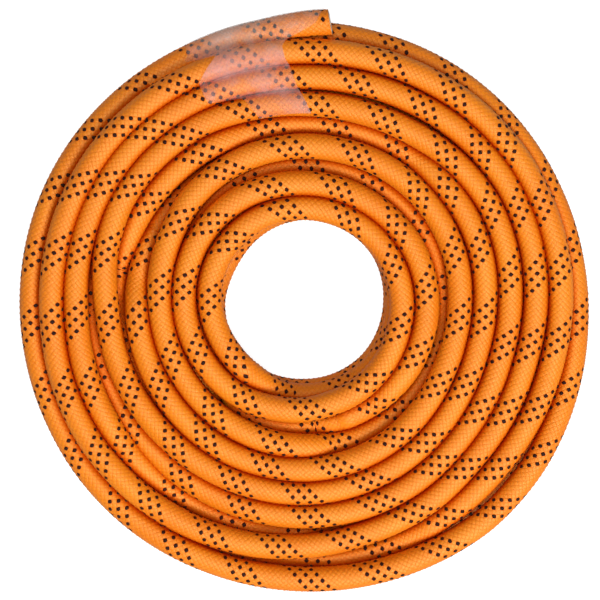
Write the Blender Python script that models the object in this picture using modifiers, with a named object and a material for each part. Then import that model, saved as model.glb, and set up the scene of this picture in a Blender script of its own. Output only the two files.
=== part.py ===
"""A climbing rope wound into a flat round coil, with its free end taped down on top.

Metres, +Z up. The coil lies on z = 0. Its axis stands a little off the
origin, so that the origin is the middle of the whole object's footprint.
"""

import math

import bmesh
import bpy
from mathutils import Matrix, Vector

# ---- driving dimensions -------------------------------------------------
ROPE_D = 0.010  # rope diameter
GAP = 0.0003  # clearance between touching pieces
AXIS_X, AXIS_Y = 0.00154, -0.00173  # where the coil's axis stands

LEVEL_H = 0.0092  # height of one layer of the coil (turns nest a little)
RING_INNER_R = 0.0325
RING_OUTER_R = 0.1075  # lower two layers
FACE_OUTER_R = 0.0996  # upper layer, inside the outermost turn
FACE_TURNS = 7  # turns that show side by side on the upper layer
GROOVE = 0.0024  # depth of the groove between two of those turns
EDGE = 0.0034  # rounding of a layer's edges
RING_STEPS = 48

OUTER_TURN_R = 0.1056  # centreline of the outermost turn
OUTER_TURN_END_DEG = 334.0
ROOT_DEG = 125.0  # where the free end leaves the outermost turn
FREE_END_R = ((124.6, 0.1056), (115.0, 0.1056), (105.0, 0.1058), (95.0, 0.1068), (85.6, 0.1090))
SHEATH_WALL = 0.0007
STRAND_R = 0.00120  # one of the core's bundles
STRAND_RING_R = 0.0027  # centres of the outer six bundles
SEAL_T = 0.0012  # thickness of the melted seal on the cut end

TAPE_FROM_DEG, TAPE_TO_DEG = 91.0, 115.5
TAPE_T = 0.0004
# The tape's section, from its inner end on the upper layer, over the free
# end and down the outside of the coil: radius and height of each corner.
TAPE_SECTION = (
    (0.0710, 0.0290),
    (0.0850, 0.0290),
    (0.0985, 0.0290),
    (0.1015, 0.0296),
    (0.1050, 0.0298),
    (0.1090, 0.0298),
    (0.1120, 0.0284),
    (0.1132, 0.0260),
    (0.1136, 0.0225),
    (0.1136, 0.0100),
)

TOP_Z = 3 * LEVEL_H + 2 * GAP  # top of the upper layer
TUBE_Z = 2 * (LEVEL_H + GAP) + GAP + ROPE_D / 2  # outermost turn's centreline

# ---- a clean scene ------------------------------------------------------
for obj in list(bpy.data.objects):
    bpy.data.objects.remove(obj, do_unlink=True)

PARTS = bpy.data.collections.new("climbing_rope")
CUTTERS = bpy.data.collections.new("cutters")
for collection in (PARTS, CUTTERS):
    bpy.context.scene.collection.children.link(collection)


def material(name, colour, roughness, alpha=1.0, transmission=0.0):
    mat = bpy.data.materials.new(name)
    mat.use_nodes = True
    shader = mat.node_tree.nodes["Principled BSDF"]
    shader.inputs["Base Color"].default_value = (*colour, 1.0)
    shader.inputs["Roughness"].default_value = roughness
    shader.inputs["Metallic"].default_value = 0.0
    shader.inputs["Alpha"].default_value = alpha
    shader.inputs["Transmission Weight"].default_value = transmission
    return mat


SHEATH = material("sheath_orange", (0.90, 0.26, 0.02), 0.75)
SHEATH_LOW = material("sheath_orange_shade", (0.72, 0.17, 0.015), 0.80)
CORE = material("core_white", (0.86, 0.85, 0.80), 0.70)
SEAL = material("melted_seal", (0.70, 0.66, 0.60), 0.35)
TAPE = material("clear_tape", (0.93, 0.91, 0.90), 0.15, alpha=0.35)


def empty(name, location, parent=None):
    obj = bpy.data.objects.new(name, None)
    obj.empty_display_size = 0.02
    obj.location = location
    obj.parent = parent
    PARTS.objects.link(obj)
    return obj


def polar(deg, radius, z):
    a = math.radians(deg)
    return Vector((radius * math.cos(a), radius * math.sin(a), z))


AXIS = empty("coil_axis", (AXIS_X, AXIS_Y, 0.0))
# The free end bends up at its root, so its hinge line runs along the radius
# there, at the height of the rope's upper side.
HINGE_AT = polar(ROOT_DEG, OUTER_TURN_R, TUBE_Z + ROPE_D / 2)
HINGE = empty("free_end_hinge", HINGE_AT, AXIS)


def place(obj, mat, moving=False):
    """Puts a piece modelled about the coil's axis under its parent."""
    PARTS.objects.link(obj)
    obj.data.materials.clear()
    obj.data.materials.append(mat)
    if moving:
        obj.parent = HINGE
        obj.matrix_parent_inverse = Matrix.Translation(-HINGE_AT)
    else:
        obj.parent = AXIS
    return obj


def smooth(mesh, angle=40):
    mesh.shade_smooth()
    mesh.set_sharp_from_angle(angle=math.radians(angle))


# ---- turned layers of the coil -----------------------------------------
def corner(radius, z, from_deg, to_deg, steps=3):
    """A rounded corner of the section, centred at radius, z."""
    return [
        (
            radius + EDGE * math.cos(math.radians(from_deg + (to_deg - from_deg) * i / steps)),
            z + EDGE * math.sin(math.radians(from_deg + (to_deg - from_deg) * i / steps)),
        )
        for i in range(steps + 1)
    ]


def layer_section(z0, z1, r0, r1, turns=0):
    """The closed outline of a layer, down its outer side first. With turns,
    its upper side is scalloped, one crest for each turn."""
    outline = corner(r1 - EDGE, z1 - EDGE, 60, 0) + corner(r1 - EDGE, z0 + EDGE, 0, -90)
    outline += corner(r0 + EDGE, z0 + EDGE, -90, -180) + corner(r0 + EDGE, z1 - EDGE, 180, 120)
    if not turns:
        return outline + [(r0 + EDGE, z1), (r1 - EDGE, z1)]
    pitch = (r1 - r0) / turns
    for turn in range(turns):
        middle = r0 + pitch * (turn + 0.5)
        for step, drop in ((-0.25, 0.26), (0.0, 0.0), (0.25, 0.26)):
            outline.append((middle + step * pitch, z1 - drop * GROOVE))
        if turn < turns - 1:
            outline.append((middle + 0.5 * pitch, z1 - GROOVE))
    return outline


def turned(name, outline, mat):
    mesh = bpy.data.meshes.new(name)
    bm = bmesh.new()
    corners = [bm.verts.new((radius, 0.0, z)) for radius, z in outline]
    for a, b in zip(corners, corners[1:] + corners[:1]):
        bm.edges.new((a, b))
    bm.to_mesh(mesh)
    bm.free()
    obj = place(bpy.data.objects.new(name, mesh), mat)
    screw = obj.modifiers.new("Turn", "SCREW")
    screw.axis = "Z"
    screw.angle = 2 * math.pi
    screw.steps = screw.render_steps = RING_STEPS
    screw.use_smooth_shade = True
    return obj


STEP = LEVEL_H + GAP
turned("coil_bottom_layer", layer_section(0.0, LEVEL_H, RING_INNER_R, RING_OUTER_R), SHEATH_LOW)
turned("coil_middle_layer", layer_section(STEP, STEP + LEVEL_H, RING_INNER_R, RING_OUTER_R), SHEATH_LOW)
turned("coil_top_layer", layer_section(2 * STEP, 2 * STEP + LEVEL_H, RING_INNER_R, FACE_OUTER_R, FACE_TURNS), SHEATH)


# ---- tubes --------------------------------------------------------------
def through(points, count):
    """count points, evenly spaced along a smooth curve through points."""
    dense = []
    ends = [points[0] * 2 - points[1]] + list(points) + [points[-1] * 2 - points[-2]]
    for p0, p1, p2, p3 in zip(ends, ends[1:], ends[2:], ends[3:]):
        for i in range(24):
            t = i / 24
            dense.append(
                0.5 * (2 * p1 + (p2 - p0) * t + (2 * p0 - 5 * p1 + 4 * p2 - p3) * t**2 + (3 * p1 - p0 - 3 * p2 + p3) * t**3)
            )
    dense.append(points[-1])
    along = [0.0]
    for a, b in zip(dense, dense[1:]):
        along.append(along[-1] + (b - a).length)
    found, k = [], 0
    for i in range(count):
        want = along[-1] * i / (count - 1)
        while k < len(dense) - 2 and along[k + 1] < want:
            k += 1
        share = (want - along[k]) / (along[k + 1] - along[k])
        found.append(dense[k].lerp(dense[k + 1], share))
    return found


def tube_curve(name, points, radius, resolution):
    curve = bpy.data.curves.new(name, "CURVE")
    curve.dimensions = "3D"
    curve.bevel_depth = radius
    curve.bevel_resolution = resolution
    curve.use_fill_caps = True
    spline = curve.splines.new("POLY")
    spline.points.add(len(points) - 1)
    for point, at in zip(spline.points, points):
        point.co = (*at, 1.0)
    spline.use_smooth = True
    return bpy.data.objects.new(name, curve)


outer_turn = [
    polar(ROOT_DEG + (OUTER_TURN_END_DEG - ROOT_DEG) * i / 24, OUTER_TURN_R, TUBE_Z) for i in range(25)
]
place(tube_curve("outer_turn", through(outer_turn, 28), ROPE_D / 2, 3), SHEATH)

route = [polar(deg, radius, TUBE_Z) for deg, radius in FREE_END_R]
ROUTE_POINTS = 10
centre_line = through(route, ROUTE_POINTS)


def beside(points, out, up):
    """The line that runs at a fixed offset from points, out and up."""
    line = []
    for i, at in enumerate(points):
        along = (points[min(i + 1, len(points) - 1)] - points[max(i - 1, 0)]).normalized()
        side = Vector((0, 0, 1)).cross(along).normalized()
        line.append(at + side * out + Vector((0, 0, up)))
    return line


def as_mesh(curve_obj, name, collection):
    """A closed mesh of a curve's tube, with its caps welded on."""
    collection.objects.link(curve_obj)
    bpy.context.view_layer.update()
    evaluated = curve_obj.evaluated_get(bpy.context.evaluated_depsgraph_get())
    mesh = bpy.data.meshes.new_from_object(evaluated)
    bm = bmesh.new()
    bm.from_mesh(mesh)
    bmesh.ops.remove_doubles(bm, verts=bm.verts, dist=1e-6)
    bmesh.ops.recalc_face_normals(bm, faces=bm.faces)
    bm.to_mesh(mesh)
    bm.free()
    smooth(mesh)
    obj = bpy.data.objects.new(name, mesh)
    obj.matrix_world = curve_obj.matrix_world
    bpy.data.objects.remove(curve_obj, do_unlink=True)
    return obj


# The braided sheath of the free end: a tube with the core inside it.
sheath = as_mesh(tube_curve("sheath_line", centre_line, ROPE_D / 2, 4), "free_end_sheath", CUTTERS)
place(sheath, SHEATH, moving=True)
longer = [centre_line[0] * 2 - centre_line[1]] + centre_line + [centre_line[-1] * 2 - centre_line[-2]]
bore = as_mesh(tube_curve("bore_line", longer, ROPE_D / 2 - SHEATH_WALL, 4), "free_end_bore", CUTTERS)
CUTTERS.objects.link(bore)
bore.parent = HINGE
bore.matrix_parent_inverse = Matrix.Translation(-HINGE_AT)
bore.hide_render = True
bore.display_type = "WIRE"
cut = sheath.modifiers.new("Bore", "BOOLEAN")
cut.operation = "DIFFERENCE"
cut.object = bore

# Its core: six bundles round a seventh.
offsets = [(0.0, 0.0)] + [
    (STRAND_RING_R * math.cos(math.radians(60 * i)), STRAND_RING_R * math.sin(math.radians(60 * i)))
    for i in range(6)
]
for number, (out, up) in enumerate(offsets, 1):
    strand = tube_curve(f"core_bundle_{number}", beside(centre_line, out, up), STRAND_R, 2)
    place(strand, CORE, moving=True)

# The melted seal on the cut end.
tangent = (centre_line[-1] - centre_line[-2]).normalized()
seal_mesh = bpy.data.meshes.new("cut_end_seal")
bm = bmesh.new()
bmesh.ops.create_cone(
    bm, cap_ends=True, segments=24, radius1=ROPE_D / 2, radius2=ROPE_D / 2 - 0.0003, depth=SEAL_T
)
bm.to_mesh(seal_mesh)
bm.free()
smooth(seal_mesh, 50)
turn = tangent.to_track_quat("Z", "Y").to_matrix().to_4x4()
middle = centre_line[-1] + tangent * (GAP + SEAL_T / 2)
seal_mesh.transform(Matrix.Translation(middle) @ turn)
place(bpy.data.objects.new("cut_end_seal", seal_mesh), SEAL, moving=True)

# ---- clear tape ---------------------------------------------------------
tape_mesh = bpy.data.meshes.new("clear_tape")
bm = bmesh.new()
along = [bm.verts.new((radius, 0.0, z)) for radius, z in TAPE_SECTION]
for a, b in zip(along, along[1:]):
    bm.edges.new((a, b))
bm.to_mesh(tape_mesh)
bm.free()
tape = place(bpy.data.objects.new("clear_tape", tape_mesh), TAPE, moving=True)
tape.rotation_euler = (0.0, 0.0, math.radians(TAPE_FROM_DEG))
screw = tape.modifiers.new("Turn", "SCREW")
screw.axis = "Z"
screw.angle = math.radians(TAPE_TO_DEG - TAPE_FROM_DEG)
screw.steps = screw.render_steps = 8
screw.use_smooth_shade = True
shell = tape.modifiers.new("Thickness", "SOLIDIFY")
shell.thickness = TAPE_T
shell.offset = 1.0
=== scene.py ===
"""A dynamic climbing rope, wound into a flat round coil, with its free end taped down. Everything is in metres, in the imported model's frame."""

import math

import bpy
import numpy as np
from mathutils import Matrix, Vector


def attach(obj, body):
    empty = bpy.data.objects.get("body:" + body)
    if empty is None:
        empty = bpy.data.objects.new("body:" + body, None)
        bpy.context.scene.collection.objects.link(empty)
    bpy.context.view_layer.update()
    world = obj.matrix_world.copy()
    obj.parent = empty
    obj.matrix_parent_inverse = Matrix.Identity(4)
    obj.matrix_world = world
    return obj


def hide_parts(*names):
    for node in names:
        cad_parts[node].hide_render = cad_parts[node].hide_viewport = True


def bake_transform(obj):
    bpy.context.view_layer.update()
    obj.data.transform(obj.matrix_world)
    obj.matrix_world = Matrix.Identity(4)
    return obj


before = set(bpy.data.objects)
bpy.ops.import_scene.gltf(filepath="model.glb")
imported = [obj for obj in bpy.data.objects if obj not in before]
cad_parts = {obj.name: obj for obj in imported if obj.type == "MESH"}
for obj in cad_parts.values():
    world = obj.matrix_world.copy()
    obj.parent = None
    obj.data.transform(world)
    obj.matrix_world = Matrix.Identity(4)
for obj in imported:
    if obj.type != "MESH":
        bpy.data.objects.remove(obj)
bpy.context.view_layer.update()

MM = 0.001
ROPE_R = 5.0  # mm, to the crowns of the sheath's yarns
VALLEY = 0.30  # mm, how far the gaps between yarns lie below the crowns
CARRIERS = 24  # 12 yarns each way round
STRIPS = 17  # of the sheath on the map it is baked to
PITCH = 26.5  # mm, one turn of a yarn round the rope
ROW = PITCH / CARRIERS  # mm between rows of crossings
AXIS = np.array([1.54, -1.73])  # mm, the coil's axis

# ---------------------------------------------------------------- camera
TARGET = Vector((-0.0004, 0.0010, 0.024))
DISTANCE = 0.8
TILT = math.radians(8.0)
LEAN = Vector((-0.336, 0.942, 0.0)).normalized()
cam_at = TARGET + DISTANCE * (math.sin(TILT) * LEAN + math.cos(TILT) * Vector((0, 0, 1)))
forward = (TARGET - cam_at).normalized()
right = forward.cross(Vector((0, 1, 0))).normalized()
up = right.cross(forward)
cam_data = bpy.data.cameras.new("camera")
cam_data.sensor_width = 36.0
cam_data.lens = 36.0 * (DISTANCE / 0.000385) / 600.0
cam_data.clip_start = 0.01
cam_data.clip_end = 20.0
camera = bpy.data.objects.new("camera", cam_data)
camera.matrix_world = Matrix(
    (
        (right.x, up.x, -forward.x, cam_at.x),
        (right.y, up.y, -forward.y, cam_at.y),
        (right.z, up.z, -forward.z, cam_at.z),
        (0, 0, 0, 1),
    )
)
bpy.context.scene.collection.objects.link(camera)
bpy.context.scene.camera = camera
EYE = np.array(cam_at) * 1000.0

# ---------------------------------------------------------------- the rope's route
# The rope is wound like a spool: nine radial layers, each a helix of about three levels. Angles run
# anticlockwise and keep growing from the free end (84) to the inner end (8380). The stretches on the top
# face are measured: first and last angle, then at even steps the radius about the axis in mm, and the
# count of marker bands passed. The stretches between them are under the face.
SHIFT = {"A": 0, "B": 1440, "C": 3240, "D": 5400, "E": 6840}
FACE = {
    "A": (84, 445,
          [109.4, 105.9, 105.1, 105.1, 105.1, 105.0, 104.6, 104.4, 104.6, 105.3, 105.9, 106.3, 107.2, 108.2, 109.2, 110.2, 109.3, 107.4, 105.5, 104.4, 103.9, 104.0, 104.1, 104.0, 103.7],
          [0.12, 1.14, 2.20, 3.29, 4.34, 5.39, 6.44, 7.46, 8.49, 9.51, 10.53, 11.52, 12.56, 13.61, 14.66, 15.72, 16.80, 17.88, 18.93, 19.94, 20.93, 21.91, 22.90, 23.93, 25.18]),
    "B": (275, 990,
          [100.4, 100.2, 99.2, 98.4, 98.5, 98.6, 99.3, 99.5, 99.6, 99.3, 98.7, 98.0, 97.7, 98.1, 98.3, 98.2, 97.9, 97.4, 97.1, 97.5, 97.7, 97.3, 96.6, 95.7, 93.9, 92.1, 91.0, 88.8, 88.4, 88.3, 89.5, 90.4, 90.8, 90.0, 88.9, 88.3, 88.2, 89.0, 89.7, 90.2, 89.8, 88.9, 87.9, 88.1, 88.3, 88.1, 87.7, 88.5, 88.7],
          [0.21, 1.13, 2.09, 3.02, 3.92, 4.83, 5.75, 6.71, 7.67, 8.62, 9.54, 10.47, 11.38, 12.30, 13.28, 14.24, 15.18, 16.10, 17.03, 17.95, 18.88, 19.80, 20.71, 21.63, 22.54, 23.42, 24.31, 25.17, 26.01, 26.82, 27.65, 28.51, 29.38, 30.25, 31.10, 31.93, 32.83, 33.57, 34.43, 35.33, 36.20, 37.04, 37.90, 38.77, 39.64, 40.50, 41.35, 42.21, 43.06]),
    "C": (180, 900,
          [82.1, 81.5, 81.4, 80.9, 81.2, 81.8, 82.3, 82.2, 81.5, 79.9, 79.0, 78.5, 79.3, 80.5, 81.1, 80.0, 78.4, 77.9, 78.1, 79.2, 80.8, 81.3, 81.2, 79.2, 75.9, 75.0, 74.0, 73.3, 73.1, 73.0, 73.1, 72.5, 71.7, 70.6, 69.4, 68.9, 69.5, 70.8, 71.3, 71.1, 70.5, 70.3, 70.4, 70.6, 71.4, 72.1, 72.8, 72.9, 72.6],
          [0.03, 0.97, 1.79, 2.56, 3.34, 4.13, 4.94, 5.73, 6.52, 7.30, 8.07, 8.82, 9.55, 10.31, 11.09, 11.87, 12.61, 13.38, 14.16, 14.91, 15.70, 16.51, 17.29, 18.09, 18.86, 19.58, 20.29, 20.98, 21.66, 22.36, 23.08, 23.81, 24.50, 25.18, 25.85, 26.50, 27.15, 27.83, 28.52, 29.25, 30.01, 30.75, 31.47, 32.15, 32.81, 33.48, 34.20, 34.91, 35.45]),
    "D": (140, 870,
          [63.9, 64.3, 64.5, 64.5, 64.0, 63.6, 63.7, 63.8, 63.7, 63.7, 63.2, 62.2, 60.8, 59.5, 59.3, 60.0, 61.0, 61.6, 61.9, 62.0, 61.9, 62.0, 61.9, 61.5, 60.3, 58.3, 56.8, 55.5, 54.7, 54.1, 54.0, 54.0, 54.3, 54.5, 54.9, 54.7, 54.3, 53.9, 53.8, 53.8, 53.8, 53.9, 54.0, 54.0, 54.5, 54.6, 55.2, 55.3, 55.0, 54.5],
          [0.05, 0.77, 1.41, 2.04, 2.67, 3.28, 3.89, 4.50, 5.12, 5.75, 6.37, 6.98, 7.59, 8.16, 8.74, 9.31, 9.91, 10.51, 11.09, 11.68, 12.26, 12.86, 13.47, 14.09, 14.70, 15.26, 15.83, 16.37, 16.92, 17.44, 17.97, 18.47, 19.00, 19.53, 20.09, 20.64, 21.18, 21.72, 22.23, 22.75, 23.29, 23.87, 24.44, 24.99, 25.53, 26.08, 26.63, 27.18, 27.76, 28.09]),
    "E": (240, 945,
          [47.9, 47.2, 46.5, 45.9, 45.9, 46.3, 46.7, 46.9, 47.1, 47.3, 47.3, 47.0, 47.0, 47.4, 47.7, 48.3, 48.9, 48.9, 48.4, 47.6, 46.5, 45.2, 44.1, 43.2, 42.2, 41.0, 40.2, 39.0, 38.6, 38.0, 37.7, 37.3, 37.5, 37.6, 37.7, 37.9, 38.0, 38.2, 38.5, 38.7, 38.8, 38.6, 38.3, 37.7, 36.4, 35.0, 33.9, 33.4],
          [-0.10, 0.41, 0.91, 1.39, 1.86, 2.34, 2.82, 3.27, 3.73, 4.17, 4.63, 5.07, 5.54, 6.00, 6.47, 6.96, 7.43, 7.92, 8.39, 8.87, 9.34, 9.81, 10.25, 10.69, 11.12, 11.54, 11.96, 12.36, 12.76, 13.14, 13.53, 13.92, 14.29, 14.68, 15.07, 15.47, 15.87, 16.27, 16.68, 17.09, 17.51, 17.92, 18.33, 18.74, 19.14, 19.55, 19.94, 20.19]),
}
# how high each stretch rides over its neighbours near its ends: 2 lies on top, 0 is tucked under
RANK = {
    "A": [(84, 1.2), (255, 1.2), (270, 2), (322, 2), (335, 1), (445, 1)],
    "B": [(275, 0.2), (300, 1.4), (318, 2), (918, 2), (935, 1.6), (950, 1.25), (965, 0.95), (980, 0.4), (990, 0)],
    "C": [(180, 0), (200, 1.3), (230, 1.4), (250, 1.55), (275, 2), (760, 2), (785, 1), (850, 1), (870, 1.3), (885, 0.9), (900, 0)],
    "D": [(140, 0), (150, 0.6), (165, 1.2), (185, 2), (615, 2), (640, 1.5), (665, 1.1), (700, 0.8), (850, 0.8), (870, 0)],
    "E": [(240, 0.3), (262, 0.9), (285, 1.25), (305, 1.5), (330, 2), (880, 2), (900, 1.5), (945, 1.0)],
}
# the hole's wall on the lower levels: angle, radius of the innermost turn's middle
WALL = ([0, 30, 60, 90, 119, 148, 163, 179, 210, 225, 271, 316, 346, 360],
        [36.7, 37.4, 37.6, 37.8, 35.9, 34.0, 34.3, 35.3, 36.1, 36.4, 36.2, 36.9, 36.7, 36.7])
STEP = 3.0
PSI0, PSI_END = 84.0, 8380.0
ROUND = 120  # samples a turn
COUNT = int((PSI_END - PSI0) / STEP) + 1
psi = PSI0 + STEP * np.arange(COUNT)
TURNS = -(-COUNT // ROUND)
LEVEL = (24.3, 14.5, 5.0)  # mm, middle of the rope on the three levels
TOUCH = 9.6  # mm between touching strands: the sheath gives a little

span = {n: (f[0] + SHIFT[n], f[1] + SHIFT[n]) for n, f in FACE.items()}
on_face = np.zeros(COUNT, bool)
want_r, want_z = np.full(COUNT, np.nan), np.full(COUNT, np.nan)
rank = np.full(COUNT, -1.0)
for n, (a, b) in span.items():
    m = (psi >= a) & (psi <= b)
    on_face |= m
    radii = FACE[n][2]
    want_r[m] = np.interp(psi[m], np.linspace(a, b, len(radii)), radii)
    want_z[m] = LEVEL[0]
    k = np.array(RANK[n], float)
    rank[m] = np.interp(psi[m] - SHIFT[n], k[:, 0], k[:, 1])


def ease(x):
    x = np.clip(x, 0, 1)
    return x * x * (3 - 2 * x)


def under(a, b, dive, rise, knots):
    """The route from a to b below the face: it is on the middle level for dive degrees after a and rise degrees before b."""
    m = (psi > a) & (psi < b)
    x = psi[m]
    drop = LEVEL[1] - LEVEL[2]
    want_z[m] = LEVEL[1] - drop * ease((x - a - dive + 35) / 70) + drop * ease((x - b + rise + 35) / 70)
    k = np.array(knots, float)
    want_r[m] = np.interp(x, k[:, 0], k[:, 1])


under(445, span["B"][0], 260, 330, [(445, 103.7), (1030, 103.7), (1100, 94), (1400, 94), (1640, 95), (1715, 100)])
a, b = span["B"][1], span["C"][0]
under(a, b, 230, 250, [(a, 88), (a + 60, 85), (a + 400, 84), (a + 480, 75), (b - 90, 76), (b, 82)])
a, b = span["C"][1], span["D"][0]
under(a, b, 300, 300, [(a, 71), (a + 60, 68), (a + 690, 65), (a + 760, 56), (b - 90, 58), (b, 65)])
a, b = span["D"][1], span["E"][0]
under(a, b, 220, 200, [(a, 54.5), (a + 60, 50), (a + 380, 46.5), (b - 90, 44), (b, 48)])
inmost = psi > span["E"][1]
leave = 1 - ease((psi[inmost] - span["E"][1]) / 40)  # the last strand to leave the face goes down slowly
want_r[inmost] = np.interp(psi[inmost] % 360, *WALL)
want_r[inmost] += (FACE["E"][2][-1] - np.interp(span["E"][1] % 360, *WALL)) * leave
want_z[inmost] = LEVEL[1] - (LEVEL[1] - LEVEL[2]) * ease((psi[inmost] - span["E"][1] - 300) / 70)
want_z[inmost] += (LEVEL[0] - 1.0 - LEVEL[1]) * leave
hidden = ~on_face
wall = np.interp(psi % 360, *WALL)
wall[inmost] = np.minimum(wall[inmost], want_r[inmost])
I, K = np.triu_indices(TURNS, 1)


def grid(v, fill=1e4):
    return np.concatenate([v, np.full(TURNS * ROUND - COUNT, fill)]).reshape(TURNS, ROUND)


def line(g):
    return g.reshape(-1)[:COUNT]


def smooth(v, mask, k):
    lap = np.zeros_like(v)
    lap[1:-1] = 0.5 * (v[:-2] + v[2:]) - v[1:-1]
    return v + np.where(mask, k * lap, 0)


ray = (AXIS[0] - EYE[0]) * np.cos(np.radians(psi)) + (AXIS[1] - EYE[1]) * np.sin(np.radians(psi)) + want_r
sight = ray / (EYE[2] - LEVEL[0])


def settle_face(steps=600):
    """The strands on the face keep their measured radii. Where two are closer than a diameter, the one of lower rank sinks."""
    r, z = want_r.copy(), np.where(on_face, LEVEL[0] - 6 * np.clip(1.5 - rank, 0, 1.5), want_z)
    seen, order = grid(on_face.astype(float), 0) > 0, grid(rank, -9.0)
    slope = np.clip((order[I] - order[K]) * 2.0, -1, 1)
    share = 0.5 + 0.45 * np.clip(-(order[I] - order[K]) * 2, -1, 1)
    for _ in range(steps):
        # measured from the eye: a strand that has sunk is further from the axis than it looks from the eye
        r = np.where(on_face, r + 0.25 * (want_r + np.clip(LEVEL[0] - z, -2, 12) * sight - r), r)
        z = np.where(on_face, z + 0.04 * (LEVEL[0] - z), z)
        r, z = smooth(r, on_face, 0.15), smooth(z, on_face, 0.3)
        rg, zg = np.where(seen, grid(r), 1e4), np.where(seen, grid(z), 1e4)
        for _ in range(2):
            dr, dz = rg[I] - rg[K], zg[I] - zg[K]
            both = seen[I] & seen[K] & (np.abs(dr) < TOUCH)
            want = slope * np.sqrt(np.maximum(TOUCH * TOUCH - dr * dr, 0))
            gap = np.where(slope > 0, np.maximum(want - dz, 0), np.minimum(want - dz, 0)) * both
            move, hits = np.zeros_like(zg), np.zeros_like(zg)
            hit = (gap != 0).astype(float)
            np.add.at(move, I, gap * share)
            np.add.at(move, K, -gap * (1 - share))
            np.add.at(hits, I, hit * share)
            np.add.at(hits, K, hit * (1 - share))
            zg = np.where(seen, zg + move / np.maximum(1, hits), zg)
        z = np.where(on_face, line(zg), z)
    return r, z


def settle_under(r, z, steps=1500):
    """The strands below settle under the face, pushed apart until they only touch."""
    z = np.where(on_face, z, want_z)
    low = grid(hidden.astype(float), 0) > 0
    lo_i, lo_k = low[I], low[K]
    part_i = np.where(lo_i, np.where(lo_k, 0.5, 1.0), 0.0)
    part_k = np.where(lo_k, np.where(lo_i, 0.5, 1.0), 0.0)
    pull = np.where(inmost, 0.25, 0.02)
    # no strand below may climb past the middle level, except where it comes up to the face
    lid = np.full(COUNT, LEVEL[1] + 0.6)
    for n, (a, b) in span.items():
        for end, way in ((a, -1), (b, 1)):
            if n == "A" and way < 0:
                continue
            rise = float(np.interp(end, psi[on_face], z[on_face])) - lid[0]
            away = np.clip((psi - end) * way, 0, None) + 1e3 * ((psi - end) * way < 0)
            lid = np.maximum(lid, LEVEL[1] + 0.6 + max(rise, 0) * (1 - ease(away / (40 if (n, way) == ("E", 1) else 30))))
    lid, near = grid(lid, 30.0), grid(wall, 0.0)
    for step in range(steps):
        f = step / steps
        reach = 6.5 + (TOUCH - 6.5) * min(1, f / 0.6)
        r = np.where(hidden, r + pull * (want_r - r), r)
        z = np.where(hidden, z - 0.03 * (1 - f), z)
        for _ in range(4):
            r, z = smooth(r, hidden, 0.45), smooth(z, hidden, 0.45)
        rg, zg = grid(r), grid(z)
        for _ in range(3):
            dr, dz = rg[I] - rg[K], zg[I] - zg[K]
            away = np.sqrt(dr * dr + dz * dz) + 1e-9
            over = np.where((lo_i | lo_k) & (away < reach), reach - away, 0)
            mr, mz, hits = np.zeros_like(rg), np.zeros_like(rg), np.zeros_like(rg)
            hit = (over > 0).astype(float)
            np.add.at(mr, I, over * dr / away * part_i)
            np.add.at(mr, K, -over * dr / away * part_k)
            np.add.at(mz, I, over * dz / away * part_i)
            np.add.at(mz, K, -over * dz / away * part_k)
            np.add.at(hits, I, hit)
            np.add.at(hits, K, hit)
            s = 1 / np.sqrt(np.maximum(1, hits))
            rg = np.where(low, np.clip(rg + mr * s, near, 104.2), rg)
            zg = np.where(low, np.clip(zg + mz * s, 5.0, lid), zg)
        r, z = line(rg).copy(), line(zg).copy()
    return r, z


r_face, z_face = settle_face()
r_all, z_all = settle_under(r_face, z_face, 1500)


def knot_line(x, values):
    """values, one every STEP degrees from PSI0, read at angles x on a smooth curve through them."""
    t = np.clip((np.asarray(x, float) - PSI0) / STEP, 0, COUNT - 1.000001)
    i = np.floor(t).astype(int)
    f = t - i
    p = [values[np.clip(i + j, 0, COUNT - 1)] for j in (-1, 0, 1, 2)]
    return p[1] + 0.5 * f * (p[2] - p[0] + f * (2 * p[0] - 5 * p[1] + 4 * p[2] - p[3] + f * (3 * (p[1] - p[2]) + p[3] - p[0])))


def place(x):
    """The middle of the rope at angles x, in mm."""
    a = np.radians(x)
    r = knot_line(x, r_all)
    return np.stack([AXIS[0] + r * np.cos(a), AXIS[1] + r * np.sin(a), knot_line(x, z_all)], -1)


START = 85.1  # the cut end
fine = np.arange(START, PSI_END - 0.01, 0.25)
along = np.concatenate([[0], np.cumsum(np.linalg.norm(np.diff(place(fine), axis=0), axis=1))])
LENGTH = along[-1]
ROWS = int(LENGTH / ROW)
row_s = ROW * np.arange(ROWS + 1)
row_psi = np.interp(row_s, along, fine)
centre = place(row_psi)

# bands passed, counted along the whole rope: measured on the face, carried on evenly below it
marks, last = [], None
for n, (a, b) in span.items():
    bands = np.array(FACE[n][3])
    at = np.interp(np.linspace(a, b, len(bands)), fine, along)
    if last is not None:
        bands = bands + round(last[1] + (at[0] - last[0]) / PITCH - bands[0])
    marks += list(zip(at, bands))
    last = marks[-1]
marks.append((LENGTH, last[1] + (LENGTH - last[0]) / PITCH))
drift = np.array([(s, p - s / PITCH) for s, p in marks])
twist = np.interp(row_s, drift[:, 0], drift[:, 1])
kernel = np.hanning(81)
kernel /= kernel.sum()
twist = np.convolve(np.pad(twist, 40, mode="edge"), kernel, "valid")
top_n = 4 - 24 * twist  # the carrier place that faces the eye at each row


def frames(centre):
    t = np.gradient(centre, axis=0)
    t /= np.linalg.norm(t, axis=1, keepdims=True)
    n = EYE - centre
    n -= t * np.sum(n * t, axis=1, keepdims=True)
    n /= np.linalg.norm(n, axis=1, keepdims=True)
    return t, n, np.cross(t, n)


tangent, normal, side = frames(centre)
n_of = np.arange(CARRIERS)


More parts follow.
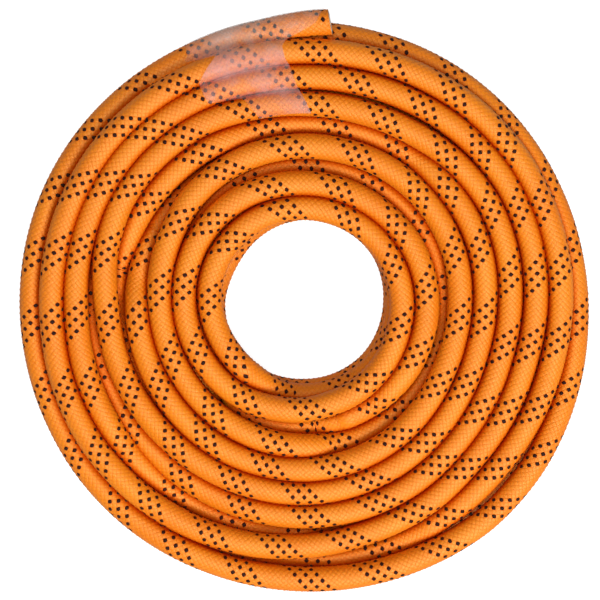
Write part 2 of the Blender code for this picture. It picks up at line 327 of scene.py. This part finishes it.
def on_sheath(u, v, low):
    """Points on the sheath at carrier places u and rows v, which may be fractions; low is how far below the crowns, from 0 to 1."""
    i = np.clip(np.floor(v).astype(int), 0, ROWS - 1)
    f = (v - i)[:, None]
    c = centre[i] * (1 - f) + centre[i + 1] * f
    nn = normal[i] * (1 - f) + normal[i + 1] * f
    ss = side[i] * (1 - f) + side[i + 1] * f
    tt = top_n[i] * (1 - f[:, 0]) + top_n[i + 1] * f[:, 0]
    a = np.radians(15.0 * (u - tt))[:, None]
    rad = (ROPE_R - VALLEY * low)[:, None]
    return c + rad * (np.cos(a) * nn + np.sin(a) * ss)


def is_black(n, m):
    return (n % 2 == 0) & (((n - m) // 2) % 12 % 2 == 0) & (((n - m) // 2) % 12 < 6)


def braid(first, final):
    """The sheath from row first to row final: vertices, corner lists, each face's material and each corner's place in the braid."""
    rows = final - first + 1
    mm, nn = np.meshgrid(np.arange(first, final + 1), n_of, indexing="ij")
    cross = (mm + nn) % 2 == 0
    verts = on_sheath(nn.ravel().astype(float), mm.ravel().astype(float), (~cross).ravel().astype(float))
    idx = lambda n, m: (m - first) * CARRIERS + n % CARRIERS
    cm, cn = mm[cross], nn[cross]
    black = is_black(cn, cm) & (cm > first) & (cm < final)
    tris, uvs, mats = [], [], []
    corner = [(1, 0), (0, 1), (-1, 0), (0, -1)]
    pn, pm = cn[~black], cm[~black]
    for q in range(4):
        (du, dv), (eu, ev) = corner[q], corner[(q + 1) % 4]
        ok = (pm + dv >= first) & (pm + dv <= final) & (pm + ev >= first) & (pm + ev <= final)
        n, m = pn[ok], pm[ok]
        tris.append(np.stack([idx(n, m), idx(n + du, m + dv), idx(n + eu, m + ev)], 1))
        uvs.append(np.stack([np.stack([n, m], 1), np.stack([n + du, m + dv], 1), np.stack([n + eu, m + ev], 1)], 1))
        mats.append(np.zeros(len(n), int))
    # marker cells: a rounded patch of black yarn inside the cell
    bn, bm = cn[black], cm[black]
    base = len(verts)
    # eight points round the cell's middle: towards its corners and its edges' middles
    ring = []
    for q in range(4):
        (du, dv), (eu, ev) = corner[q], corner[(q + 1) % 4]
        ring.append((du * 0.78, dv * 0.78, 0.55))
        k = 0.97 if q % 2 == 0 else 0.92
        ring.append(((du + eu) * 0.5 * k, (dv + ev) * 0.5 * k, 0.62))
    new = [on_sheath(bn + du, bm + dv, np.full(len(bn), low)) for du, dv, low in ring]
    ring_id = [base + j * len(bn) + np.arange(len(bn)) for j in range(8)]
    ring_uv = [np.stack([bn + du, bm + dv], 1) for du, dv, _ in ring]
    verts = np.concatenate([verts] + new)
    mid, mid_uv = idx(bn, bm), np.stack([bn, bm], 1).astype(float)
    for j in range(8):
        k = (j + 1) % 8
        tris.append(np.stack([mid, ring_id[j], ring_id[k]], 1))
        uvs.append(np.stack([mid_uv, ring_uv[j], ring_uv[k]], 1))
        mats.append(np.ones(len(bn), int))
    for q in range(4):
        (du, dv), (eu, ev) = corner[q], corner[(q + 1) % 4]
        a, b, c = 2 * q, 2 * q + 1, (2 * q + 2) % 8
        one, two = idx(bn + du, bm + dv), idx(bn + eu, bm + ev)
        uv1, uv2 = np.stack([bn + du, bm + dv], 1), np.stack([bn + eu, bm + ev], 1)
        for tri, uv in (
            ([one, ring_id[b], ring_id[a]], [uv1, ring_uv[b], ring_uv[a]]),
            ([one, two, ring_id[b]], [uv1, uv2, ring_uv[b]]),
            ([two, ring_id[c], ring_id[b]], [uv2, ring_uv[c], ring_uv[b]]),
        ):
            tris.append(np.stack(tri, 1))
            uvs.append(np.stack(uv, 1))
            mats.append(np.zeros(len(bn), int))
    tris, uvs, mats = np.concatenate(tris), np.concatenate(uvs).astype(float), np.concatenate(mats)
    # a second map for baking: the sheath cut into strips of equal length, laid side by side
    along = uvs[:, :, 1] - first
    strip = np.floor(np.clip(along[:, :1], 0, rows - 2) * STRIPS / (rows - 1))
    across = 0.002 + 0.996 * (along * STRIPS / (rows - 1) - strip)
    up = (strip + (uvs[:, :, 0] + 1.5) / 26) / (STRIPS + 0.6)
    uvs[:, :, 1] -= (np.floor(uvs[:, :1, 1] / 24) * 24)
    return verts, tris, np.concatenate([uvs, np.stack([across, up], 2)], 2), mats


def add_rings(verts, tris, uvs, mats, row, outward, rings, mat):
    """Closes the sheath's end at a row with rings (radius in mm, distance out along the rope in mm) and a last middle point."""
    t, n, s, c, tn = tangent[row], normal[row], side[row], centre[row], top_n[row]
    a = np.radians(15.0 * (n_of - tn))[:, None]
    shape = np.cos(a) * n + np.sin(a) * s
    extra_t, extra_uv = [], []
    m = float(row % 24)
    # on the bake map an end is a small disc beside the last strip
    mid_u = 0.03 if outward < 0 else 0.09

    def disc(k, rad):
        turn = 2 * math.pi * k / CARRIERS
        return (k, m, mid_u + 0.0029 * rad * math.cos(turn), 0.982 + 0.0029 * rad * math.sin(turn))

    total = len(verts)
    # the cap has a rim of its own, so that it doesn't bend the shading of the sheath's last row
    new = [verts[rings["edge"]]]
    ids = total + np.arange(CARRIERS)
    total += CARRIERS
    edge = 5.0
    for rad, out in rings["rings"]:
        new.append(c + shape * rad + t * out * outward)
        nxt = total + np.arange(CARRIERS)
        total += CARRIERS
        for k in range(CARRIERS):
            j = (k + 1) % CARRIERS
            quad = (ids[k], ids[j], nxt[j], nxt[k])
            flat = (disc(k, edge), disc(k + 1, edge), disc(k + 1, rad), disc(k, rad))
            quad, flat = (quad, flat) if outward > 0 else (quad[::-1], flat[::-1])
            extra_t += [(quad[0], quad[1], quad[2]), (quad[0], quad[2], quad[3])]
            extra_uv += [[flat[0], flat[1], flat[2]], [flat[0], flat[2], flat[3]]]
        ids, edge = nxt, rad
    new.append((c + t * rings["tip"] * outward)[None])
    for k in range(CARRIERS):
        j = (k + 1) % CARRIERS
        tri, flat = (ids[k], ids[j], total), [disc(k, edge), disc(k + 1, edge), disc(k, 0.0)]
        extra_t.append(tri if outward > 0 else tri[::-1])
        extra_uv.append(flat if outward > 0 else flat[::-1])
    verts = np.concatenate([verts] + new)
    tris = np.concatenate([tris, np.array(extra_t)])
    uvs = np.concatenate([uvs, np.array(extra_uv, float)])
    mats = np.concatenate([mats, np.full(len(extra_t), mat)])
    return verts, tris, uvs, mats


def mesh_object(name, verts, tris, uvs, mats, materials, flat=(), strips=False):
    me = bpy.data.meshes.new(name)
    me.vertices.add(len(verts))
    me.vertices.foreach_set("co", (np.asarray(verts) * MM).astype(np.float32).ravel())
    me.loops.add(len(tris) * 3)
    me.loops.foreach_set("vertex_index", np.asarray(tris, np.int32).ravel())
    me.polygons.add(len(tris))
    me.polygons.foreach_set("loop_start", np.arange(0, len(tris) * 3, 3, dtype=np.int32))
    for mat in materials:
        me.materials.append(mat)
    me.polygons.foreach_set("material_index", np.asarray(mats, np.int32))
    smooth_f = np.ones(len(tris), bool)
    if len(flat):
        smooth_f[np.isin(mats, flat)] = False
    me.update(calc_edges=True)
    me.polygons.foreach_set("use_smooth", smooth_f)
    if uvs is not None:
        layer = me.uv_layers.new(name="Braid")
        layer.uv.foreach_set("vector", np.ascontiguousarray(uvs[:, :, :2], np.float32).ravel())
        if strips:
            layer = me.uv_layers.new(name="OFBake")
            layer.uv.foreach_set("vector", np.ascontiguousarray(uvs[:, :, 2:], np.float32).ravel())
        me.uv_layers["Braid"].active = me.uv_layers["Braid"].active_render = True
    me.validate()
    ob = bpy.data.objects.new(name, me)
    bpy.context.scene.collection.objects.link(ob)
    return ob


# ---------------------------------------------------------------- materials
def new_material(name):
    mat = bpy.data.materials.new(name)
    mat.use_nodes = True
    mat.node_tree.nodes.clear()
    tree = mat.node_tree
    out = tree.nodes.new("ShaderNodeOutputMaterial")
    shader = tree.nodes.new("ShaderNodeBsdfPrincipled")
    tree.links.new(shader.outputs[0], out.inputs[0])
    return mat, tree, shader


def linear(r, g, b):
    f = lambda c: c / 255 / 12.92 if c / 255 <= 0.04045 else ((c / 255 + 0.055) / 1.055) ** 2.4
    return (f(r), f(g), f(b), 1.0)


class Graph:
    """Short names for the nodes a material is built from."""

    def __init__(self, tree):
        self.tree = tree

    def put(self, socket, value):
        if isinstance(value, bpy.types.NodeSocket):
            self.tree.links.new(value, socket)
        else:
            socket.default_value = value

    def math(self, op, a, b=None, c=None, clamp=False):
        n = self.tree.nodes.new("ShaderNodeMath")
        n.operation = op
        n.use_clamp = clamp
        for i, v in enumerate((a, b, c)):
            if v is not None:
                self.put(n.inputs[i], v)
        return n.outputs[0]

    def noise(self, vector, scale, detail=2.0, rough=0.5, kind="3D"):
        n = self.tree.nodes.new("ShaderNodeTexNoise")
        n.noise_dimensions = kind
        self.put(n.inputs["Vector"], vector)
        n.inputs["Scale"].default_value = scale
        n.inputs["Detail"].default_value = detail
        n.inputs["Roughness"].default_value = rough
        return n.outputs[0]

    def mix(self, factor, a, b, blend="MIX"):
        n = self.tree.nodes.new("ShaderNodeMix")
        n.data_type = "RGBA"
        n.blend_type = blend
        self.put(n.inputs[0], factor)
        self.put(n.inputs[6], a)
        self.put(n.inputs[7], b)
        return n.outputs[2]

    def vector(self, x, y, z):
        n = self.tree.nodes.new("ShaderNodeCombineXYZ")
        for i, v in enumerate((x, y, z)):
            self.put(n.inputs[i], v)
        return n.outputs[0]

    def bump(self, height, distance, strength=1.0, normal=None):
        n = self.tree.nodes.new("ShaderNodeBump")
        self.put(n.inputs["Height"], height)
        n.inputs["Distance"].default_value = distance
        n.inputs["Strength"].default_value = strength
        if normal is not None:
            self.put(n.inputs["Normal"], normal)
        return n.outputs[0]

    def object_coords(self):
        return self.tree.nodes.new("ShaderNodeTexCoord").outputs["Object"]


def braid_nodes(g):
    """From the braid's own coordinates: how far a point lies across the top yarn and along its float, and the yarn's number."""
    uv = g.tree.nodes.new("ShaderNodeUVMap")
    uv.uv_map = "Braid"
    sep = g.tree.nodes.new("ShaderNodeSeparateXYZ")
    g.put(sep.inputs[0], uv.outputs[0])
    u, v = sep.outputs[0], sep.outputs[1]
    a = g.math("MULTIPLY", g.math("ADD", u, v), 0.5)
    b = g.math("MULTIPLY", g.math("SUBTRACT", u, v), 0.5)
    ra, rb = g.math("ROUND", a), g.math("ROUND", b)
    x, y = g.math("SUBTRACT", a, ra), g.math("SUBTRACT", b, rb)
    odd = g.math("PINGPONG", g.math("ADD", ra, rb), 1.0)
    across = g.math("ADD", y, g.math("MULTIPLY", odd, g.math("SUBTRACT", x, y)))
    length = g.math("ADD", x, g.math("MULTIPLY", odd, g.math("SUBTRACT", y, x)))
    yarn = g.math("ADD", g.math("MULTIPLY", ra, odd), g.math("MULTIPLY", rb, g.math("SUBTRACT", 1.0, odd)))
    a_along = g.math("ADD", g.math("MULTIPLY", a, g.math("SUBTRACT", 1.0, odd)), g.math("MULTIPLY", b, odd))
    return across, length, odd, yarn, a_along


def sheath_material(name, main, painted_gap_shade, dusty, rough=0.55, sheen=0.35, painted_groove_shade=None, gloss=0.4, tint=(1, 1, 1, 1)):
    """Braided polyamide: each float is a rounded bundle of fine filaments, with a soft sheen. Painted shade darkens the
    gaps between floats and, where a colour is given for it, the grooves between turns.
    """
    mat, tree, shader = new_material(name)
    g = Graph(tree)
    across, length, odd, yarn, run = braid_nodes(g)
    c2 = g.math("MULTIPLY", g.math("MULTIPLY", across, across), 4.0)
    l2 = g.math("MULTIPLY", g.math("MULTIPLY", length, length), 4.0)
    round_ = g.math("SQRT", g.math("MAXIMUM", g.math("SUBTRACT", 1.0, g.math("MULTIPLY", c2, 0.86)), 0.0))
    dive = g.math("SUBTRACT", 1.0, g.math("MULTIPLY", g.math("MULTIPLY", l2, l2), 0.55))
    height = g.math("MULTIPLY", round_, dive)
    # filaments: fine lines along the yarn, leaning a little from its twist
    lean = g.math("ADD", g.math("MULTIPLY", across, 5.0), g.math("MULTIPLY", run, 1.6))
    fil = g.math("SINE", g.math("MULTIPLY", lean, 2 * math.pi))
    place_ = g.object_coords()
    fuzz = g.noise(place_, 2600.0, 3.0, 0.65)
    blotch = g.noise(place_, 46.0, 2.0, 0.5)
    h = g.math("ADD", height, g.math("MULTIPLY", fil, 0.045))
    h = g.math("ADD", h, g.math("MULTIPLY", fuzz, 0.20))
    g.put(shader.inputs["Normal"], g.bump(h, 0.00022, 0.85))
    # painted shade: the colour is mixed towards a darker one in the gaps between floats, where shade falls
    gap = g.math("SUBTRACT", 1.0, height, clamp=True)
    gap = g.math("POWER", gap, 1.6, clamp=True)
    tone = g.math("ADD", g.math("MULTIPLY", blotch, 0.5), g.math("MULTIPLY", fuzz, 0.5))
    tone = g.math("MULTIPLY", g.math("SUBTRACT", tone, 0.36), 2.2, clamp=True)
    colour = g.mix(tone, main, dusty)
    colour = g.mix(g.math("MULTIPLY", gap, 0.55, clamp=True), colour, painted_gap_shade)
    # painted shade: an ambient occlusion node darkens the colour to a deep red in the grooves between touching turns,
    # and dims the gloss there too
    if painted_groove_shade is not None:
        groove_occlusion = tree.nodes.new("ShaderNodeAmbientOcclusion")
        groove_occlusion.samples = 8
        groove_occlusion.only_local = True
        groove_occlusion.inputs["Distance"].default_value = 0.0032
        unshaded = g.math("POWER", groove_occlusion.outputs["AO"], 1.5, clamp=True)
        colour = g.mix(unshaded, painted_groove_shade, colour)
        g.put(shader.inputs["Specular IOR Level"], g.math("MULTIPLY", g.math("POWER", groove_occlusion.outputs["AO"], 3.0, clamp=True), gloss))
    g.put(shader.inputs["Base Color"], colour)
    g.put(shader.inputs["Roughness"], g.math("ADD", rough - 0.08, g.math("MULTIPLY", fuzz, 0.2)))
    shader.inputs["Sheen Weight"].default_value = sheen
    shader.inputs["Sheen Roughness"].default_value = 0.45
    shader.inputs["Sheen Tint"].default_value = dusty
    if painted_groove_shade is None:
        shader.inputs["Specular IOR Level"].default_value = gloss
    shader.inputs["Specular Tint"].default_value = tint
    return mat


# each sheath's second colour is painted shade for the gaps between floats; the orange's linear(176, 34, 0) is painted
# shade for the grooves between turns
ORANGE = sheath_material("sheath_orange", linear(236, 122, 0), linear(206, 70, 0), linear(244, 146, 14), 0.5, 0.0, linear(176, 34, 0), 0.9, (1.0, 0.95, 0.5, 1))
BLACK = sheath_material("sheath_black", linear(40, 14, 8), linear(18, 6, 3), linear(54, 24, 15), 0.7, 0.0, None, 0.2)


def melted_material(name, main, dark, rough=0.42, alpha=1.0):
    mat, tree, shader = new_material(name)
    g = Graph(tree)
    p = g.object_coords()
    grain = g.noise(p, 900.0, 4.0, 0.6)
    patch = g.noise(p, 300.0, 2.0, 0.5)
    g.put(shader.inputs["Base Color"], g.mix(g.math("MULTIPLY", g.math("SUBTRACT", patch, 0.35), 2.2, clamp=True), main, dark))
    g.put(shader.inputs["Roughness"], g.math("ADD", rough, g.math("MULTIPLY", grain, 0.25)))
    g.put(shader.inputs["Normal"], g.bump(grain, 0.0004, 0.6))
    return mat


SEAL = melted_material("melted_seal", linear(226, 219, 206), linear(176, 158, 138))
RIM = melted_material("melted_rim", linear(214, 150, 92), linear(176, 96, 44), 0.5)
CORE = melted_material("core_yarn", linear(236, 234, 226), linear(205, 202, 192), 0.7)

# ---------------------------------------------------------------- the rope's pieces
JOIN = int(np.argmin(np.abs(row_psi - 124.7)))


def end_rings(edge, rings, tip):
    return {"edge": edge, "rings": rings, "tip": tip}


# the coil: from the joint with the free end to the inner end, which is cut with heat too
v, t, uv, mt = braid(JOIN, ROWS)
ring0 = np.arange(CARRIERS)
v, t, uv, mt = add_rings(v, t, uv, mt, JOIN, -1, end_rings(ring0, [(4.4, 0.0)], 0.0), 0)
last = (ROWS - JOIN) * CARRIERS + np.arange(CARRIERS)
v, t, uv, mt = add_rings(v, t, uv, mt, ROWS, 1, end_rings(last, [(4.75, 0.35), (4.2, 0.75), (3.0, 0.95), (1.5, 1.0)], 1.0), 2)
v[:, 2] = np.maximum(v[:, 2], 0.0)  # the lowest turns press a little flat on what the coil stands on
coil = mesh_object("coiled_rope", v, t, uv, mt, [ORANGE, BLACK, SEAL], strips=True)
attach(coil, "coil")
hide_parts("coil_bottom_layer", "coil_middle_layer", "coil_top_layer", "outer_turn")
every = 8
path = centre[JOIN::every]
path = np.concatenate([path, centre[-1:]])

def slanted(verts):
    """The cut isn't quite square: on the coil's outer side the rope ends about a millimetre sooner."""
    out = np.append(centre[0][:2] - AXIS, 0.0)
    off = verts - centre[0]
    w = np.clip(1 - (off @ tangent[0]) / 14.0, 0, 1)
    return verts + np.outer(0.13 * (off @ (out / np.linalg.norm(out))) * w * w * (3 - 2 * w), tangent[0])


# the free end: the same braid carried on, open at the cut
v, t, uv, mt = braid(0, JOIN)
v, t, uv, mt = add_rings(v, t, uv, mt, 0, -1, end_rings(ring0, [(4.85, 0.14), (4.55, 0.26), (4.3, 0.2), (4.15, -0.3), (4.1, -3.0)], -3.0), 2)
last = JOIN * CARRIERS + np.arange(CARRIERS)
v, t, uv, mt = add_rings(v, t, uv, mt, JOIN, 1, end_rings(last, [(4.4, 0.0)], 0.0), 0)
tail = mesh_object("free_end_of_rope", slanted(v), t, uv, mt, [ORANGE, BLACK, RIM])
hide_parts("free_end_sheath")
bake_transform(tail)

# its core: seven bundles, each plied from three yarns, ending in the melted face
core_rows = np.arange(2, 16)


def core_piece():
    verts, tris = [], []
    for b in range(7):
        place_a = 0 if b == 6 else math.radians(60 * b)
        off = 0.0 if b == 6 else 2.72
        ring_n, base = 12, sum(len(x) for x in verts)
        steps = 20
        for i in range(steps + 1):
            s = 0.05 + i * 0.14  # mm back from the cut face
            spin = place_a + s * 0.05
            c = centre[0] + tangent[0] * s + off * (math.cos(spin) * normal[0] + math.sin(spin) * side[0])
            a = 2 * math.pi * np.arange(ring_n) / ring_n
            rad = 1.28 * (1 + 0.07 * np.cos(3 * (a - s * 1.4)))
            verts.append(c + rad[:, None] * (np.cos(a)[:, None] * normal[0] + np.sin(a)[:, None] * side[0]))
            if i:
                for k in range(ring_n):
                    j = (k + 1) % ring_n
                    p, q = base + (i - 1) * ring_n, base + i * ring_n
                    tris += [(p + k, p + j, q + j), (p + k, q + j, q + k)]
        verts.append(np.array([verts[-1].mean(0)]))
        tip = base + (steps + 1) * ring_n
        verts.append(np.array([verts[-steps - 2].mean(0)]))
        for k in range(ring_n):
            j = (k + 1) % ring_n
            tris.append((base + steps * ring_n + k, base + steps * ring_n + j, tip))
            tris.append((base + j, base + k, tip + 1))
    return np.concatenate(verts), np.array(tris)


cv, ct = core_piece()
core = mesh_object("free_end_core", slanted(cv), ct, None, np.zeros(len(ct), int), [CORE])
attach(core, "free_end")
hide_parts(*["core_bundle_%d" % i for i in range(1, 8)])


# the melted face: a thin uneven skin over the core, filling the rim
def seal_piece():
    verts, tris = [], []
    rings = [(4.12, -0.25, 0), (4.3, 0.08, 0), (4.1, 0.22, 1), (3.2, 0.30, 1), (2.2, 0.26, 1), (1.1, 0.34, 1)]
    n = 48
    a = 2 * math.pi * np.arange(n) / n
    lump = lambda r: 0.10 * np.cos(6 * a + 0.4) * min(1, r / 3) + 0.05 * np.sin(11 * a + r)
    for r, out, top in rings:
        rr = r + 0.05 * np.sin(5 * a)
        oo = out + (lump(r) if top else 0)
        verts.append(centre[0] - tangent[0] * np.reshape(oo * np.ones(n), (n, 1)) + np.reshape(rr, (n, 1)) * (np.cos(a)[:, None] * normal[0] + np.sin(a)[:, None] * side[0]))
    verts.append((centre[0] - tangent[0] * 0.38)[None])
    verts.append((centre[0] + tangent[0] * 0.30)[None])
    for i in range(len(rings) - 1):
        for k in range(n):
            j = (k + 1) % n
            p, q = i * n, (i + 1) * n
            tris += [(p + j, p + k, q + k), (p + j, q + k, q + j)]
    top = len(rings) * n
    for k in range(n):
        j = (k + 1) % n
        tris.append(((len(rings) - 1) * n + j, (len(rings) - 1) * n + k, top))
        tris.append((k, j, top + 1))
    return np.concatenate(verts), np.array(tris)


sv, st = seal_piece()
seal = mesh_object("melted_cut_face", slanted(sv), st, None, np.zeros(len(st), int), [SEAL])
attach(seal, "free_end")
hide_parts("cut_end_seal")


# ---------------------------------------------------------------- the clear tape
# One strip of packing tape, stuck over the free end and onto the three turns inside it, then down the coil's side.
# Its cut edges, as the angle at each radius in mm: the torn left edge and the right one.
LEFT_EDGE = ([74.4, 79.8, 83.6, 84.9, 86.4, 90.6, 95.0, 98.9, 102.1, 102.7, 104.0, 109.9, 116.0],
             [103.4, 105.3, 106.4, 111.0, 115.3, 115.3, 115.1, 112.1, 109.3, 112.6, 115.9, 114.6, 114.6])
RIGHT_EDGE = ([74.0, 80.4, 84.2, 88.0, 92.6, 95.7, 100.3, 102.4, 104.4, 108.2, 111.3, 116.0],
              [88.2, 90.5, 92.0, 92.9, 93.7, 94.7, 95.1, 94.2, 91.4, 87.9, 86.6, 86.4])
FILM = 0.10  # mm
COLS, OVER, ROUND_SIDE, DOWN = 72, 84, 12, 16


def tape_piece():
    r_in = 74.6
    grid_p = np.zeros((COLS + 1, OVER + ROUND_SIDE + DOWN + 1, 3))
    rows_v = OVER + ROUND_SIDE + DOWN
    rng = np.random.default_rng(5)
    wave = [(rng.uniform(2, 5), rng.uniform(2, 6), rng.uniform(0, 6.3), rng.uniform(-1, 1)) for _ in range(10)]
    # heights of the turns' tops over angle and radius, with the film pulled tight across the grooves
    th = np.linspace(85.2, 119.2, 171)
    reach = ROPE_R + 0.10
    turn = [place(th + 360.0 * k) - np.append(AXIS, 0) for k in range(TURNS - 1)]
    turn_r = np.array([np.hypot(p[:, 0], p[:, 1]) for p in turn])
    turn_z = np.array([p[:, 2] for p in turn])
    rr = np.arange(66.0, 116.0, 0.4)
    gap = rr[None, :, None] - turn_r.T[:, None, :]
    top = np.where(np.abs(gap) < reach, turn_z.T[:, None, :] + np.sqrt(np.maximum(reach**2 - gap**2, 0)), 0)
    high = top.max(2)
    high = np.maximum(high, 12.0)
    for _ in range(400):
        mid = 0.5 * (high[:, :-2] + high[:, 2:]) - 0.030
        high[:, 1:-1] = np.maximum(high[:, 1:-1], mid)
        high[1:-1] = np.maximum(high[1:-1], 0.5 * (high[:-2] + high[2:]) - 0.01)

    def height(t, r):
        i = np.clip((t - th[0]) / (th[1] - th[0]), 0, len(th) - 1.001)
        j = np.clip((r - rr[0]) / 0.4, 0, len(rr) - 1.001)
        a, b = int(i), int(j)
        f, e = i - a, j - b
        return (high[a, b] * (1 - f) + high[a + 1, b] * f) * (1 - e) + (high[a, b + 1] * (1 - f) + high[a + 1, b + 1] * f) * e

    for i in range(COLS + 1):
        for j in range(rows_v + 1):
            f = i / COLS
            # radius used for the edges
            t0 = 104.0
            for _ in range(2):
                rope_r = float(np.interp(t0, th, turn_r[0]))
                rope_z = float(np.interp(t0, th, turn_z[0]))
                if j <= OVER:
                    r = r_in + (rope_r - r_in) * j / OVER
                    flat_r = r
                elif j <= OVER + ROUND_SIDE:
                    flat_r = 108 + 4 * (j - OVER) / ROUND_SIDE
                else:
                    flat_r = 116
                t0 = float(np.interp(flat_r, *RIGHT_EDGE) * (1 - f) + np.interp(flat_r, *LEFT_EDGE) * f)
            rope_r = float(np.interp(t0, th, turn_r[0]))
            rope_z = float(np.interp(t0, th, turn_z[0]))
            if j <= OVER:
                r = r_in + (rope_r - r_in) * j / OVER
                z = height(t0, r)
            elif j <= OVER + ROUND_SIDE:
                a = math.radians(90 * (1 - (j - OVER) / ROUND_SIDE))
                r, z = rope_r + reach * math.cos(a), rope_z + reach * math.sin(a)
            else:
                k = (j - OVER - ROUND_SIDE) / DOWN
                z = rope_z + (10.0 - rope_z) * k
                r = rope_r + reach + (109.9 - rope_r - reach) * ease(k * 1.2)
            ripple = sum(amp * math.sin(t0 * math.pi / 180 * 100 / p1 + r / p2 + ph) for p1, p2, ph, amp in wave) * 0.018
            lift = 0.05 + abs(ripple)
            # corners stand a little proud where the film has let go
            edge = max(0.0, 1 - 14 * min(f, 1 - f)) * 0.25 + max(0.0, 1 - j / 6) * 0.25
            if j <= OVER:
                z += lift + edge
            else:
                r += lift
            a = math.radians(t0)
            grid_p[i, j] = (AXIS[0] + r * math.cos(a), AXIS[1] + r * math.sin(a), z)
    return grid_p


def film_mesh(name, p, thickness, material):
    """A closed sheet of that thickness on the grid p; v runs outwards."""
    n, m = p.shape[:2]
    du, dv = np.gradient(p, axis=0), np.gradient(p, axis=1)
    nor = np.cross(dv, du)
    nor /= np.linalg.norm(nor, axis=2, keepdims=True) + 1e-12
    verts = np.concatenate([(p + nor * thickness).reshape(-1, 3), p.reshape(-1, 3)])
    idx = lambda i, j, s: s * n * m + i * m + j
    faces = []
    for i in range(n - 1):
        for j in range(m - 1):
            a, b, c, d = idx(i, j, 0), idx(i + 1, j, 0), idx(i + 1, j + 1, 0), idx(i, j + 1, 0)
            o = n * m
            faces += [(a, d, c), (a, c, b), (a + o, b + o, c + o), (a + o, c + o, d + o)]
    rim = [(i, 0) for i in range(n)] + [(n - 1, j) for j in range(1, m)] + [(i, m - 1) for i in range(n - 2, -1, -1)] + [(0, j) for j in range(m - 2, 0, -1)]
    for k in range(len(rim)):
        (i0, j0), (i1, j1) = rim[k], rim[(k + 1) % len(rim)]
        a, b = idx(i0, j0, 0), idx(i1, j1, 0)
        faces += [(a, b, b + n * m), (a, b + n * m, a + n * m)]
    faces = np.array(faces)
    return mesh_object(name, verts, faces, None, np.zeros(len(faces), int), [material])


def tape_material():
    """Clear film with a milky look where it has let go of the braid, and creases that catch the light."""
    mat, tree, shader = new_material("clear_tape")
    g = Graph(tree)
    p = g.object_coords()
    cloud = g.noise(p, 58.0, 2.0, 0.5)
    fine_ = g.noise(p, 420.0, 2.0, 0.5)
    streak = g.math("ADD", g.math("MULTIPLY", cloud, 0.8), g.math("MULTIPLY", fine_, 0.2))
    milk = g.math("MULTIPLY", g.math("SUBTRACT", streak, 0.43), 5.0, clamp=True)
    # painted shade: the film is coloured a darker pink where it lies on the turns, greyer over the free end
    apart = tree.nodes.new("ShaderNodeSeparateXYZ")
    g.put(apart.inputs[0], p)
    over = g.math("MULTIPLY", g.math("SUBTRACT", apart.outputs[1], 0.094), 160.0, clamp=True)
    g.put(shader.inputs["Base Color"], g.mix(over, (0.78, 0.42, 0.37, 1), (0.80, 0.68, 0.60, 1)))
    g.put(shader.inputs["Alpha"], g.math("ADD", 0.07, g.math("MULTIPLY", milk, 0.26)))
    g.put(shader.inputs["Roughness"], g.math("ADD", 0.28, g.math("MULTIPLY", cloud, 0.2)))
    g.put(shader.inputs["Normal"], g.bump(streak, 0.0008, 0.6))
    shader.inputs["Specular IOR Level"].default_value = 0.35
    return mat


TAPE = tape_material()
tape_p = tape_piece()
tape = film_mesh("packing_tape", tape_p, FILM, TAPE)
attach(tape, "free_end")
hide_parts("clear_tape")

# ---------------------------------------------------------------- floor, light
def floor_material():
    mat, tree, shader = new_material("pale_floor")
    g = Graph(tree)
    shader.inputs["Base Color"].default_value = (0.3, 0.3, 0.3, 1)
    shader.inputs["Roughness"].default_value = 0.9
    shader.inputs["Specular IOR Level"].default_value = 0.1
    shader.inputs["Emission Color"].default_value = (1, 1, 1, 1)
    # a white surround for the eye, without its full glow on the rope
    seen = tree.nodes.new("ShaderNodeLightPath").outputs["Is Camera Ray"]
    g.put(shader.inputs["Emission Strength"], g.math("ADD", 0.2, g.math("MULTIPLY", seen, 0.72)))
    return mat


me = bpy.data.meshes.new("floor")
me.from_pydata([(-3, -3, -0.0001), (3, -3, -0.0001), (3, 3, -0.0001), (-3, 3, -0.0001)], [], [(0, 1, 2, 3)])
me.materials.append(floor_material())
floor = bpy.data.objects.new("floor", me)
bpy.context.scene.collection.objects.link(floor)


def area_light(name, at, to, size, watts, colour=(1, 1, 1)):
    data = bpy.data.lights.new(name, "AREA")
    data.shape = "DISK"
    data.size = size
    data.energy = watts
    data.color = colour
    ob = bpy.data.objects.new(name, data)
    ob.location = at
    ob.rotation_euler = (Vector(to) - Vector(at)).to_track_quat("-Z", "Y").to_euler()
    bpy.context.scene.collection.objects.link(ob)
    return ob


area_light("key", (0.36, -0.64, 1.02), (0, 0, 0), 0.6, 14.8)
area_light("front", (-0.20, 0.25, 1.4), (0, 0, 0), 0.5, 9)
world = bpy.data.worlds.new("world")
world.use_nodes = True
sky = Graph(world.node_tree)
seen = world.node_tree.nodes.new("ShaderNodeLightPath").outputs["Is Camera Ray"]
# brighter towards the horizon, like a low ring of soft panels, so that the sides of the coil aren't left dark
up = world.node_tree.nodes.new("ShaderNodeSeparateXYZ")
sky.put(up.inputs[0], world.node_tree.nodes.new("ShaderNodeTexCoord").outputs["Generated"])
low = sky.math("POWER", sky.math("SUBTRACT", 1.0, sky.math("ABSOLUTE", up.outputs[2]), clamp=True), 5.0)
glow = sky.math("ADD", 0.08, sky.math("MULTIPLY", low, 0.75))
unseen = sky.math("SUBTRACT", 1.0, seen)
world.node_tree.nodes["Background"].inputs[0].default_value = (1, 1, 1, 1)
sky.put(world.node_tree.nodes["Background"].inputs[1], sky.math("ADD", sky.math("MULTIPLY", unseen, glow), sky.math("MULTIPLY", seen, 0.95)))
bpy.context.scene.world = world
bpy.context.scene.view_settings.view_transform = "Standard"
bpy.context.scene.view_settings.look = "None"
